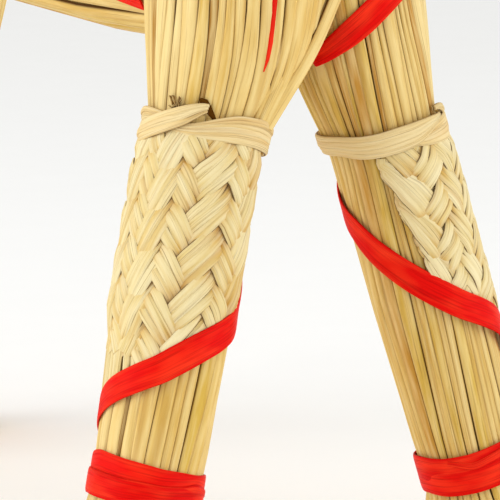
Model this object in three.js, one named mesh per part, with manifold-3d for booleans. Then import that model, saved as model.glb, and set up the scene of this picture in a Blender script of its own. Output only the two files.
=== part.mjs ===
// A standing goat of bundled rye straw, plaited raffia and red ribbon.
// Millimetres, +Z up, the goat faces -Y, its right side is at -X.

import * as THREE from 'three';
import { mergeVertices } from 'three/addons/utils/BufferGeometryUtils.js';
import Module from 'manifold-3d';

const wasm = await Module();
wasm.setup();

const { lerp, degToRad, clamp } = THREE.MathUtils;

// ---- driving dimensions ----

const gap = 0.4; // air between pieces that touch
const facetGap = 0.35; // added where a band's flat sides cut the corner round a bundle
const fluteDepth = 1.1; // the dip between two straws
const ribbonWidth = 9;
const ribbonThickness = 0.7;
const tieWidth = 7.5;
const tieThickness = 2.4;
const ankleWidth = 13;
const ankleThickness = 1.5;
const crotchHeight = 162; // where the two legs of a pair meet
const legTop = 250; // where a pair of legs gathers under the neck or the tail
const bodyHeight = 206;
const midGap = 0.2; // half the air between the two legs of a pair

// Feet: distance from the middle, Y, sideways and backward run of the leg for each unit of height, and
// where the flat between the two legs lies, which is a little off the middle on the forelegs.
const stance = {
  fore: { spread: 72.5, y: -95, splay: 0.276, lean: 0.094, middle: 2.5 },
  hind: { spread: 40, y: 195, splay: 0.1, lean: -0.2, middle: 0 },
};

// The goat is made by hand, and its bindings sit lower on the left legs.
const bindings = {
  right: { ankle: 35, tie: 141.5 },
  left: { ankle: 29.5, tie: 135.5 },
};

const colours = { straw: 0xe2c47a, braid: 0xecd79a, raffia: 0xdcbf78, ribbon: 0xe0180c };

function material(finish, roughness) {
  return new THREE.MeshStandardMaterial({ color: colours[finish], roughness, metalness: 0 });
}

const strawFinish = () => material('straw', 0.55);
const braidFinish = () => material('braid', 0.6);
const raffiaFinish = () => material('raffia', 0.6);
const ribbonFinish = () => material('ribbon', 0.4);

// ---- shaping ----

const goat = new THREE.Group();

function addPiece(name, geometry, finish) {
  const mesh = new THREE.Mesh(geometry, finish);
  mesh.name = name;
  goat.add(mesh);
}

function volume(points, index) {
  const [a, b, c] = [new THREE.Vector3(), new THREE.Vector3(), new THREE.Vector3()];
  let sum = 0;
  for (let i = 0; i < index.count; i += 3) {
    a.fromBufferAttribute(points, index.getX(i));
    b.fromBufferAttribute(points, index.getX(i + 1));
    c.fromBufferAttribute(points, index.getX(i + 2));
    sum += a.dot(b.cross(c));
  }
  return sum;
}

// Moves every vertex to where place(x, y, z) says, and turns the faces out again if that mirrored it.
function reshape(geometry, place) {
  geometry.deleteAttribute('normal');
  geometry.deleteAttribute('uv');
  const points = geometry.attributes.position;
  for (let i = 0; i < points.count; i++) {
    const moved = place(points.getX(i), points.getY(i), points.getZ(i));
    points.setXYZ(i, moved.x, moved.y, moved.z);
  }
  const merged = mergeVertices(geometry, 1e-3);
  if (volume(merged.attributes.position, merged.index) < 0) merged.index.array.reverse();
  merged.computeVertexNormals();
  return merged;
}

// A bundle of straws. at(angle, t, radius share, dip) gives a point; flutes, an even number, is how many
// straws show round it.
function bundle(flutes, steps, at, dip = fluteDepth) {
  const sides = flutes * 2;
  return reshape(new THREE.CylinderGeometry(1, 1, 1, sides, steps), (x, y, z) => {
    const share = Math.hypot(x, z);
    const angle = Math.atan2(z, x);
    const isDip = Math.round((angle / (2 * Math.PI)) * sides) % 2 !== 0;
    return at(angle, y + 0.5, share, isDip ? dip * share : 0);
  });
}

// A closed band. at(angle, across, outward): across runs from -1 to 1, outward is 0 inside and 1 outside.
function ring(sides, at) {
  const corners = [[2, -1], [3, -1], [3, 1], [2, 1], [2, -1]];
  const profile = corners.map(([x, y]) => new THREE.Vector2(x, y));
  return reshape(new THREE.LatheGeometry(profile, sides), (x, y, z) => {
    return at(Math.atan2(z, x), y, Math.round(Math.hypot(x, z)) - 2);
  });
}

// An open band. at(t, across, outward), with t from 0 to 1.
function strip(steps, at) {
  return reshape(new THREE.BoxGeometry(1, 1, 1, steps, 1, 1), (x, y, z) => at(x + 0.5, y * 2, z + 0.5));
}

// Reads rows of [place, value, value ...], in rising order of place, anywhere between two of them.
function read(rows, place, column = 1) {
  const next = rows.findIndex((row) => row[0] >= place);
  if (next === 0) return rows[0][column];
  if (next < 0) return rows.at(-1)[column];
  const [low, high] = [rows[next - 1], rows[next]];
  return lerp(low[column], high[column], (place - low[0]) / (high[0] - low[0]));
}

function toSolid(geometry) {
  return new wasm.Manifold(new wasm.Mesh({
    numProp: 3,
    vertProperties: new Float32Array(geometry.attributes.position.array),
    triVerts: new Uint32Array(geometry.index.array),
  }));
}

// What is left of a piece once room is cut in it for others.
function cutBy(geometry, rooms) {
  const cut = rooms.reduce((solid, room) => solid.subtract(toSolid(room)), toSolid(geometry));
  const mesh = cut.getMesh();
  const left = new THREE.BufferGeometry();
  left.setAttribute('position', new THREE.BufferAttribute(new Float32Array(mesh.vertProperties), 3));
  left.setIndex(new THREE.BufferAttribute(new Uint32Array(mesh.triVerts), 1));
  return mergeVertices(left, 1e-3);
}

// ---- legs ----

// Height, radius of a leg up to the crotch: a brush of a foot, nipped in at the ankle and at the tie.
function shank({ ankle, tie }) {
  return [
    [0, 25.5], [ankle - 8, 16.9], [ankle, 15.9], [ankle + 8, 16.8], [(ankle + tie) / 2, 17.7], [tie, 17.3],
  ];
}

// Above the tie the straws spread over the shoulder, wider on the right, or over the hip.
const legRadius = {
  fore: {
    right: [...shank(bindings.right), [153, 21.7], [crotchHeight, 25.7], [184, 28.7], [222, 28], [legTop, 22]],
    left: [...shank(bindings.left), [147, 19.3], [crotchHeight, 22.2], [184, 26], [222, 28], [legTop, 22]],
  },
  hind: {
    right: [...shank(bindings.right), [crotchHeight, 23], [184, 27.5], [222, 25], [legTop, 15]],
    left: [...shank(bindings.left), [crotchHeight, 23], [184, 27.5], [222, 25], [legTop, 15]],
  },
};

// Height, distance of the axis from the middle. The top of each leg bends in to its twin.
function axisRows(pair, bend) {
  const { spread, splay } = stance[pair];
  return [[0, spread], [bend[0][0] - 9, spread - (bend[0][0] - 9) * splay], ...bend];
}

const legAxis = {
  fore: {
    right: axisRows('fore', [[153, 28.2], [crotchHeight, 23.5], [184, 19.5], [222, 16], [legTop, 14]]),
    left: axisRows('fore', [[crotchHeight + 9, 25.3], [184, 22], [222, 16], [legTop, 14]]),
  },
  hind: {
    right: axisRows('hind', [[184, 21.6], [222, 16], [legTop, 10]]),
    left: axisRows('hind', [[184, 21.6], [222, 16], [legTop, 10]]),
  },
};

function sideName(side) {
  return side > 0 ? 'left' : 'right';
}

function legSurface(pair, side, height) {
  return read(legRadius[pair][sideName(side)], height);
}

// Angle 0 faces forward on a foreleg and back on a hindleg, and 90 degrees faces outward. A slice of the
// leg is square to its axis, but level at the sole and at the top.
function legPoint(pair, side, height, angle, radius) {
  const { y, splay, lean } = stance[pair];
  const out = Math.sin(angle) * radius;
  const ahead = Math.cos(angle) * radius;
  const square = clamp(Math.min(height / 20, (205 - height) / 40), 0, 1);
  return new THREE.Vector3(
    side * (read(legAxis[pair][sideName(side)], height) + out),
    y + lean * height + Math.sign(y) * ahead,
    height + square * (out * splay + ahead * Math.abs(lean)),
  );
}

function leg(pair, side) {
  const rows = legRadius[pair][sideName(side)];
  const steps = rows.length - 1;
  const flat = side * stance[pair].middle + midGap; // the two legs of a pair press flat together
  return bundle(14, steps, (angle, t, share, dip) => {
    const [height, radius] = rows[Math.round(t * steps)];
    const point = legPoint(pair, side, height, angle, share * radius - dip);
    point.x = side * Math.max(side * point.x, flat);
    return point;
  });
}

// The upper leg's plain outline, a little larger, which is cut out of the body.
function legRoom(pair, side) {
  const rows = legRadius[pair][sideName(side)].filter(([height]) => height >= bindings.right.tie - 7);
  const steps = rows.length - 1;
  return bundle(12, steps, (angle, t, share) => {
    const [height, radius] = rows[Math.round(t * steps)];
    const level = height + (t === 1 ? gap : 0);
    return legPoint(pair, side, level, angle, share * (radius + gap + facetGap));
  }, 0);
}

// tilt raises the outer side of the band.
function legRing(pair, side, middle, width, thickness, tilt = 0) {
  return ring(14, (angle, across, outward) => {
    const height = middle + tilt * Math.sin(angle) + (across * width) / 2;
    const radius = legSurface(pair, side, height) + gap + facetGap + outward * thickness;
    return legPoint(pair, side, height, angle, radius);
  });
}

// ---- ribbons wound down the legs ----

// Angle in degrees, height of the ribbon's middle. Each ribbon starts behind, under the raffia tie, and
// comes round the inside and the front to end outside, above the ankle binding.
const ribbonPath = {
  right: [[-190, 131], [-110, 109], [-46, 88], [5, 77], [40, 68], [66, 63.7], [120, 56], [155, 50.5]],
  left: [[-165, 125], [-95, 110.5], [-51, 96], [-6, 81.5], [35, 71.5], [118, 47]],
};

function windRibbon(pair, side, path, steps) {
  const [from, to] = [path[0][0], path.at(-1)[0]];
  return strip(steps, (t, across, outward) => {
    const degrees = lerp(from, to, t);
    const step = 5;
    const climb = (read(path, degrees + step) - read(path, degrees - step)) / degToRad(2 * step);
    const slant = Math.hypot(1, climb / 20); // a ribbon on a slant is taller, measured up the leg
    const height = read(path, degrees) + (across * ribbonWidth * slant) / 2;
    const radius = legSurface(pair, side, height) + gap + facetGap + outward * ribbonThickness;
    return legPoint(pair, side, height, degToRad(degrees), radius);
  });
}

// ---- braids: five columns of flat strands that slant down and up in turn ----

// Degrees round the leg: the inner edge at the bottom and at the top, and the outer edge.
const braidEdges = {
  right: { inner: [-40, -12], outer: 130 },
  left: { inner: [-17, -45], outer: 98 },
};
const braidColumns = 5;
const braidRows = 6;
const braidThickness = 2.6;
const braidFoot = 70; // its lowest height, unless the ribbon runs above that

function braid(pair, side) {
  const name = sideName(side);
  const { inner, outer } = braidEdges[name];
  const top = bindings[name].tie - tieWidth / 2 - gap;
  const plate = new THREE.BoxGeometry(1, 1, 1, braidColumns * 2, braidRows * 2, 1);
  return reshape(plate, (x, y, z) => {
    const [u, v] = [x + 0.5, y + 0.5];
    const degrees = lerp(lerp(...inner, v), outer, u);
    const bottom = Math.max(braidFoot, read(ribbonPath[name], degrees) + ribbonWidth * 0.9);
    const pitch = (top - bottom) / braidRows;
    const column = u * braidColumns;
    const slant = (Math.abs((column % 2) - 1) - 0.5) * Math.sin(Math.PI * v); // level at both ends
    const height = lerp(bottom, top, v) + slant * pitch;
    const onCrest = Math.round(v * braidRows * 2) % 2 === 1;
    const onSeam = Math.round(column * 2) % 2 === 0;
    const relief = (onCrest ? 1 : 0.6) - (onSeam ? 0.2 : 0);
    const radius = legSurface(pair, side, height) + gap + facetGap + (z > 0 ? braidThickness * relief : 0);
    return legPoint(pair, side, height, degToRad(degrees), radius);
  });
}

// ---- body ----

// Y, radius. The belly rises towards the waist.
const bodyRadius = [[-74, 36], [-50, 43], [0, 42], [36, 39], [72, 36], [120, 37], [150, 30]];

function bodyPoint(y, angle, extra = 0) {
  const radius = read(bodyRadius, y) + extra;
  return new THREE.Vector3(Math.cos(angle) * radius, y, bodyHeight + Math.sin(angle) * radius);
}

function body() {
  const steps = bodyRadius.length - 1;
  const whole = bundle(18, steps, (angle, t, share, dip) => {
    const [y, radius] = bodyRadius[Math.round(t * steps)];
    return bodyPoint(y, angle, share * radius - dip - radius);
  });
  const rooms = ['fore', 'hind'].flatMap((pair) => [-1, 1].map((side) => legRoom(pair, side)));
  return cutBy(whole, rooms);
}

// Rows are [angle in degrees, Y] of the ribbon's middle, from the hip over the back and along to the chest.
const bodyRibbonPath = [
  [-60, 93], [-20, 86.5], [20, 79.5], [60, 71.5], [95, 62.5], [125, 53], [150, 42], [170, 29.5],
  [184, 16.5], [196, 0], [206, -18], [213, -33], [217.8, -47],
];

function bodyRibbon() {
  const rows = bodyRibbonPath.map(([degrees, y], i) => [i, degrees, y]);
  const last = rows.length - 1;
  return strip(3 * last, (t, across, outward) => {
    const place = t * last;
    const [before, after] = [Math.max(place - 0.5, 0), Math.min(place + 0.5, last)];
    const radius = read(bodyRadius, read(rows, place, 2));
    const turned = degToRad(read(rows, after, 1) - read(rows, before, 1)) * radius;
    const moved = read(rows, after, 2) - read(rows, before, 2);
    const side = (across * ribbonWidth) / 2 / Math.hypot(turned, moved);
    const angle = degToRad(read(rows, place, 1)) - (side * moved) / radius;
    return bodyPoint(read(rows, place, 2) + side * turned, angle,
      gap + facetGap * 2 + outward * ribbonThickness);
  });
}

// ---- bundles that follow a curve: neck, head, horns, ears, beard, tail ----

// Rows are [share of the curve, radius across, radius up]. The result gives the point at a share of the
// curve and an angle, with a share of the radius and more or less than it.
function alongCurve(points, rows, sideways = new THREE.Vector3(1, 0, 0)) {
  const curve = new THREE.CatmullRomCurve3(points.map((point) => new THREE.Vector3(...point)));
  return (t, angle, extra = 0, share = 1) => {
    const along = curve.getTangentAt(t);
    const across = sideways.clone().addScaledVector(along, -sideways.dot(along)).normalize();
    const up = along.clone().cross(across);
    return curve.getPointAt(t)
      .addScaledVector(across, Math.cos(angle) * (share * read(rows, t, 1) + extra))
      .addScaledVector(up, Math.sin(angle) * (share * read(rows, t, 2) + extra));
  };
}

function curvedBundle(surface, rows, flutes, dip = fluteDepth) {
  const steps = rows.length - 1;
  return bundle(flutes, steps, (angle, t, share, depth) => {
    return surface(rows[Math.round(t * steps)][0], angle, -depth, share);
  }, dip);
}

// The same outline, smooth and a little larger, which is cut out of a neighbour.
function curvedRoom(surface, rows, sides) {
  const steps = rows.length - 1;
  return bundle(sides, steps, (angle, t, share) => {
    return surface(rows[Math.round(t * steps)][0], angle, share * (gap + facetGap), share);
  }, 0);
}

function curvedRing(surface, t, width, thickness, sides) {
  return ring(sides, (angle, across, outward) => {
    return surface(t + (across * width) / 2, angle, gap + facetGap + outward * thickness);
  });
}

const neckFoot = legTop + gap;
const neckY = stance.fore.y + stance.fore.lean * legTop;
const neckPoints = [
  [0, neckY, neckFoot], [0, neckY, neckFoot + 12], [0, neckY - 8, 292], [0, neckY - 30, 345],
];
const neckRows = [[0, 36, 21.5], [0.09, 34, 21.5], [0.23, 31, 22], [0.6, 26, 23], [1, 25, 23]];
const neckSurface = alongCurve(neckPoints, neckRows);

const headPoints = [[0, -80, 362], [0, -108, 356], [0, -140, 338], [0, -176, 312]];
const headRows = [[0, 19, 17], [0.12, 24, 23], [0.35, 26, 25], [0.65, 21, 20], [0.86, 18, 16], [1, 19.5, 17]];
const headSurface = alongCurve(headPoints, headRows);

// A horn is a plait, so its section swells in turn across and up.
const hornPoints = [
  [13, -98, 366], [19, -90, 400], [28, -58, 432], [36, -10, 440], [42, 34, 420], [45, 58, 392],
];
const hornSteps = 12;
const hornRows = Array.from({ length: hornSteps + 1 }, (_, i) => {
  const t = i / hornSteps;
  const radius = lerp(10, 6.5, t);
  const swell = t < 0.85 ? 1.6 * (i % 2 ? 1 : -1) : 0; // the tip is bound, not plaited
  return [t, radius + swell, radius - swell];
});

const earPoints = [[18, -92, 362], [34, -88, 364], [58, -80, 356]];
const earRows = [[0, 5, 3], [0.25, 7.5, 3.5], [0.6, 9, 3.5], [1, 2.5, 2]];

const beardPoints = [[0, -131, 326], [0, -132, 302], [0, -129, 268]];
const beardRows = [[0, 9, 8], [0.35, 6.5, 6.5], [0.65, 9, 8], [1, 14, 10]];
const beardSurface = alongCurve(beardPoints, beardRows);

const tailY = stance.hind.y + stance.hind.lean * legTop;
const tailPoints = [
  [0, tailY, legTop + gap], [0, tailY, legTop + 12], [0, tailY + 12, 286], [0, tailY + 42, 322],
];
const tailRows = [[0, 24, 14.5], [0.1, 20.5, 14], [0.24, 16.5, 14], [0.7, 17, 17], [1, 20, 20]];
const tailSurface = alongCurve(tailPoints, tailRows);

function mirrored(points, side) {
  return points.map(([x, y, z]) => [side * x, y, z]);
}

// ---- the goat ----

for (const pair of ['fore', 'hind']) {
  for (const side of [-1, 1]) {
    const { ankle, tie } = bindings[sideName(side)];
    const name = `${pair}leg_${sideName(side)}`;
    const ribbon = windRibbon(pair, side, ribbonPath[sideName(side)], 18);
    addPiece(name, leg(pair, side), strawFinish());
    addPiece(`${name}_braid`, braid(pair, side), braidFinish());
    addPiece(`${name}_raffia_tie`, legRing(pair, side, tie, tieWidth, tieThickness), raffiaFinish());
    addPiece(`${name}_ribbon`, ribbon, ribbonFinish());
    addPiece(`${name}_ankle_binding`,
      legRing(pair, side, ankle, ankleWidth, ankleThickness, 2), ribbonFinish());
  }
}

// The chest ribbon rises from the crotch over the left shoulder, and comes down over the right one.
const shoulderRibbonPath = {
  left: [[-68, 167], [-59, 168], [-17, 177], [30, 190], [95, 208]],
  right: [[-40, 214], [95, 232]],
};
for (const side of [-1, 1]) {
  const name = sideName(side);
  addPiece(`shoulder_ribbon_${name}`, windRibbon('fore', side, shoulderRibbonPath[name], 14), ribbonFinish());
}

addPiece('body', body(), strawFinish());
addPiece('body_ribbon', bodyRibbon(), ribbonFinish());

const headRoom = curvedRoom(headSurface, headRows, 12);
addPiece('neck', cutBy(curvedBundle(neckSurface, neckRows, 14), [headRoom]), strawFinish());
addPiece('neck_binding', curvedRing(neckSurface, 0.16, 0.14, ankleThickness, 20), ribbonFinish());
addPiece('head', curvedBundle(headSurface, headRows, 12), strawFinish());
addPiece('muzzle_binding', curvedRing(headSurface, 0.86, 0.09, ankleThickness, 16), ribbonFinish());
addPiece('beard', cutBy(curvedBundle(beardSurface, beardRows, 8), [headRoom]), strawFinish());
addPiece('beard_binding', curvedRing(beardSurface, 0.35, 0.12, 1, 12), ribbonFinish());

for (const side of [-1, 1]) {
  const name = sideName(side);
  const hornSurface = alongCurve(mirrored(hornPoints, side), hornRows);
  addPiece(`horn_${name}`, cutBy(curvedBundle(hornSurface, hornRows, 4, 0), [headRoom]), braidFinish());
  addPiece(`horn_${name}_binding`, curvedRing(hornSurface, 0.94, 0.04, 1, 12), ribbonFinish());
  const earSurface = alongCurve(mirrored(earPoints, side), earRows, new THREE.Vector3(0, 1, 0));
  addPiece(`ear_${name}`, cutBy(curvedBundle(earSurface, earRows, 6, 0.6), [headRoom]), strawFinish());
}

addPiece('tail', curvedBundle(tailSurface, tailRows, 12), strawFinish());
addPiece('tail_binding', curvedRing(tailSurface, 0.17, 0.13, ankleThickness, 16), ribbonFinish());

// The origin is on the floor under the middle of the goat.
const bounds = new THREE.Box3().setFromObject(goat);
goat.position.set(0, -(bounds.min.y + bounds.max.y) / 2, -bounds.min.z);

export default goat;
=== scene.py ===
import bmesh
import bpy
import math
import random
from bisect import bisect_left
from itertools import product
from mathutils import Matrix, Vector


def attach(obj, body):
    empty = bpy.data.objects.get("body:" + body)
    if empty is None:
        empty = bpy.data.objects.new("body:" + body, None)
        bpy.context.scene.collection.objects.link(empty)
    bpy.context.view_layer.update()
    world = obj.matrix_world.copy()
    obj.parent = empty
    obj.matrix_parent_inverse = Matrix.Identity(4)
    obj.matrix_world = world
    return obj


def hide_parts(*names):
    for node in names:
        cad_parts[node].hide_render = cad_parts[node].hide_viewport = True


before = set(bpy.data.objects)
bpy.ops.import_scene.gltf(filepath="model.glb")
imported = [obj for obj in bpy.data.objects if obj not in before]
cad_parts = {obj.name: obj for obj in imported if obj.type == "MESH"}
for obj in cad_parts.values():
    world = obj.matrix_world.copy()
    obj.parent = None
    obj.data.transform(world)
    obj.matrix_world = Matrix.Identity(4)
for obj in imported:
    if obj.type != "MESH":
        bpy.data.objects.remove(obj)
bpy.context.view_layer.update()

# A standing goat made of rye straw, plaited raffia and red ribbon. Paths are worked out in
# millimetres with the goat facing -Y, and brought to metres and to the frame by put().
build = {
    "seed": 11,
    "shiftY": -17.273,  # the frame's origin is under the middle of the goat
    "middle": {"fore": 2.5, "hind": 0.0},  # x of the plane where the two legs of a pair meet
    "tuck": -3.0,  # lift of the tucked end of a ribbon, down between the straws
}


def addObject(name, data):
    thing = bpy.data.objects.new(name, data)
    bpy.context.scene.collection.objects.link(thing)
    return thing


def put(point):
    return Vector((point[0], point[1] + build["shiftY"], point[2])) * 0.001


# A socket that can be reckoned with, and the board that it sits on.
class Wire:
    def __init__(self, board, socket):
        self.board, self.socket = board, socket

    def sum(self, operation, other=0.0, swapped=False):
        pair = (other, self) if swapped else (self, other)
        return self.board.add("ShaderNodeMath", {"operation": operation}, {0: pair[0], 1: pair[1]})

    def __add__(self, other): return self.sum("ADD", other)
    def __radd__(self, other): return self.sum("ADD", other, True)
    def __sub__(self, other): return self.sum("SUBTRACT", other)
    def __rsub__(self, other): return self.sum("SUBTRACT", other, True)
    def __mul__(self, other): return self.sum("MULTIPLY", other)
    def __rmul__(self, other): return self.sum("MULTIPLY", other, True)
    def __pow__(self, other): return self.sum("POWER", other)
    def __abs__(self): return self.sum("ABSOLUTE")

    def out(self, name):
        return Wire(self.board, self.socket.node.outputs[name])


class Board:
    def __init__(self, tree):
        self.tree = tree

    def socket(self, sockets, key):
        if isinstance(key, int):
            return sockets[key]
        return next(s for s in sockets if s.name == key and s.enabled)

    def add(self, kind, settings=None, values=None, out=0):
        node = self.tree.nodes.new(kind)
        for name, value in (settings or {}).items():
            if name == "stops":
                ramp = node.color_ramp
                while len(ramp.elements) < len(value):
                    ramp.elements.new(0.5)
                for element, (place, colour) in zip(ramp.elements, value):
                    element.position, element.color = place, rgb(colour)
            else:
                setattr(node, name, value)
        for key, value in (values or {}).items():
            socket = self.socket(node.inputs, key)
            if isinstance(value, Wire):
                self.tree.links.new(value.socket, socket)
            else:
                socket.default_value = value
        return Wire(self, self.socket(node.outputs, out)) if node.outputs else None

    def vec(self, operation, first, second):
        return self.add("ShaderNodeVectorMath", {"operation": operation},
                        {0: first, ("Scale" if operation == "SCALE" else 1): second})

    def mix(self, a, b, share):
        return self.add("ShaderNodeMix", {"data_type": "RGBA"}, {"Factor": share, "A": a, "B": b}, "Result")


def rgb(hexa):
    parts = [int(hexa[i:i + 2], 16) / 255 for i in (0, 2, 4)]
    return (*(p / 12.92 if p <= 0.04045 else ((p + 0.055) / 1.055) ** 2.4 for p in parts), 1.0)


def newMaterial(name):
    material = bpy.data.materials.new(name)
    material.use_nodes = True
    material.node_tree.nodes.clear()
    return material, Board(material.node_tree)


def surfaceFrom(board, values):
    shader = board.add("ShaderNodeBsdfPrincipled", {}, values)
    board.add("ShaderNodeOutputMaterial", {}, {"Surface": shader})


def attribute(board, name, out="Fac"):
    return board.add("ShaderNodeAttribute", {"attribute_name": name}, {}, out)


# Fibres run along every strand: the pattern reads how far along it and where round it a point is.
def strawMaterial(name, use):
    material, b = newMaterial(name)
    section = b.add("ShaderNodeSeparateXYZ", {}, {0: attribute(b, "section", "Vector")})
    own, along = attribute(b, "own"), attribute(b, "along")

    def fibres(across, length, detail, roughness=0.5):
        where = b.add("ShaderNodeCombineXYZ", {}, {
            "X": section * across + own, "Y": section.out("Y") * across * 0.6 + own * 0.3,
            "Z": along * length})
        return b.add("ShaderNodeTexNoise", {}, {
            "Vector": where, "Scale": 1.0, "Detail": detail, "Roughness": roughness})

    def tinted(under, colour, value, low, high, start, stop):
        share = b.add("ShaderNodeMapRange", {}, {
            "Value": value, "From Min": low, "From Max": high, "To Min": start, "To Max": stop})
        return b.mix(under, rgb(use[colour]), share)

    fine = fibres(use["fibres"], 28.0, 3.0, 0.6)
    body = b.add("ShaderNodeValToRGB", {"stops": use["tones"]}, {"Fac": attribute(b, "tone")})
    # painted highlight: noise patches along the strand are mixed towards the pale colour as sheen
    lit = b.mix(body, rgb(use["pale"]), (fibres(1.3, 55.0, 2.0) - 0.5) * use.get("highlightContrast", 1.6) + 0.25)
    lined = tinted(lit, "line", fine, use["lineFrom"], 0.78, 0.0, use["lineShare"])
    worn = tinted(lined, "stain", fibres(0.7, 17.0, 1.0), 0.58, 0.8, 0.0, 0.5)
    # painted shade: the sides of a strand, where it lies against the next, are darkened towards the side
    # colour as shade in the crease between strands
    shaded = tinted(worn, "side", abs(section.out("Y")), use["creaseShadeTo"], use["creaseShadeFrom"],
                    use["creaseShadeShare"], 0.0)
    bump = b.add("ShaderNodeBump", {}, {"Strength": use["bump"], "Distance": 0.0006, "Height": fine})
    surfaceFrom(b, {"Base Color": shaded, "Roughness": fine * 0.25 + use["rough"], "Normal": bump,
                    "Specular IOR Level": use["shine"]})
    return material


# In each look, side is the colour of the painted shade in the creases between strands.
look = {
    "straw": strawMaterial("ryeStraw", {
        "tones": [(0.0, "E3CC91"), (0.25, "E0C078"), (0.5, "D7B160"), (0.7, "D1AD4E"), (0.82, "C48F3F"),
                  (0.93, "9C7233"), (1.0, "7E5524")],
        "pale": "F4DE9F", "line": "8A5A22", "stain": "A5722F",
        "fibres": 5.5, "lineFrom": 0.56, "lineShare": 0.75, "bump": 0.5, "rough": 0.42, "shine": 0.06,
        "side": "522A04", "creaseShadeFrom": 0.46, "creaseShadeTo": 0.12, "creaseShadeShare": 0.95}),
    "braid": strawMaterial("plaitedStraw", {
        "tones": [(0.0, "EAD9A7"), (0.35, "E3CB8B"), (0.7, "D6B062"), (1.0, "BC8838")],
        "pale": "F6EAC0", "line": "80561F", "stain": "BE8B40",
        "fibres": 5.5, "lineFrom": 0.55, "lineShare": 0.85, "bump": 0.7, "rough": 0.5, "shine": 0.06,
        "side": "582E05", "creaseShadeFrom": 0.4, "creaseShadeTo": 0.08, "creaseShadeShare": 0.95}),
    "raffia": strawMaterial("raffia", {
        "tones": [(0.0, "EED9A6"), (0.35, "E6CA8E"), (0.7, "D8B06A"), (1.0, "B5843E")],
        "pale": "F4E4B6", "line": "7C4E20", "stain": "C08A4C", "fibres": 6.0, "lineFrom": 0.55,
        "lineShare": 0.85, "bump": 0.6, "rough": 0.48, "shine": 0.07, "side": "5E3206", "creaseShadeFrom": 0.4,
        "creaseShadeTo": 0.05, "creaseShadeShare": 0.9}),
    "core": strawMaterial("shadedStraw", {
        "tones": [(0.0, "4A2A08"), (1.0, "5E380C")], "pale": "603C10", "line": "2A1604",
        "stain": "3A2006", "fibres": 5.0, "lineFrom": 0.5, "lineShare": 0.6, "bump": 0.4, "rough": 0.8,
        "shine": 0.0, "side": "3A2006", "creaseShadeFrom": 0.3, "creaseShadeTo": 0.0, "creaseShadeShare": 0.3}),
    "ribbon": strawMaterial("redRibbon", {
        "tones": [(0.0, "D20A04"), (0.5, "E20C05"), (1.0, "EE180A")], "pale": "FC3C1E",
        "line": "8A0201", "stain": "BA0604", "fibres": 13.0, "lineFrom": 0.48, "lineShare": 0.7,
        "bump": 0.4, "rough": 0.34, "shine": 0.05, "highlightContrast": 3.0, "side": "8A0402",
        "creaseShadeFrom": 0.3, "creaseShadeTo": 0.0, "creaseShadeShare": 0.5}),
}
print("materials ready")


# One node tree sweeps every straw, braid strand and ribbon along its path.
strandInputs = [  # name, kind of socket, first value
    ("Width", "NodeSocketFloat", 0.004), ("Thickness", "NodeSocketFloat", 0.0035),
    ("Bow", "NodeSocketFloat", 0.0), ("Corner", "NodeSocketFloat", 1.0),
    ("Sides", "NodeSocketInt", 10), ("Size Spread", "NodeSocketFloat", 0.1),
    ("Hollow", "NodeSocketFloat", 0.0), ("Seed", "NodeSocketInt", 1),
    ("Material", "NodeSocketMaterial", None),
]


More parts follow.
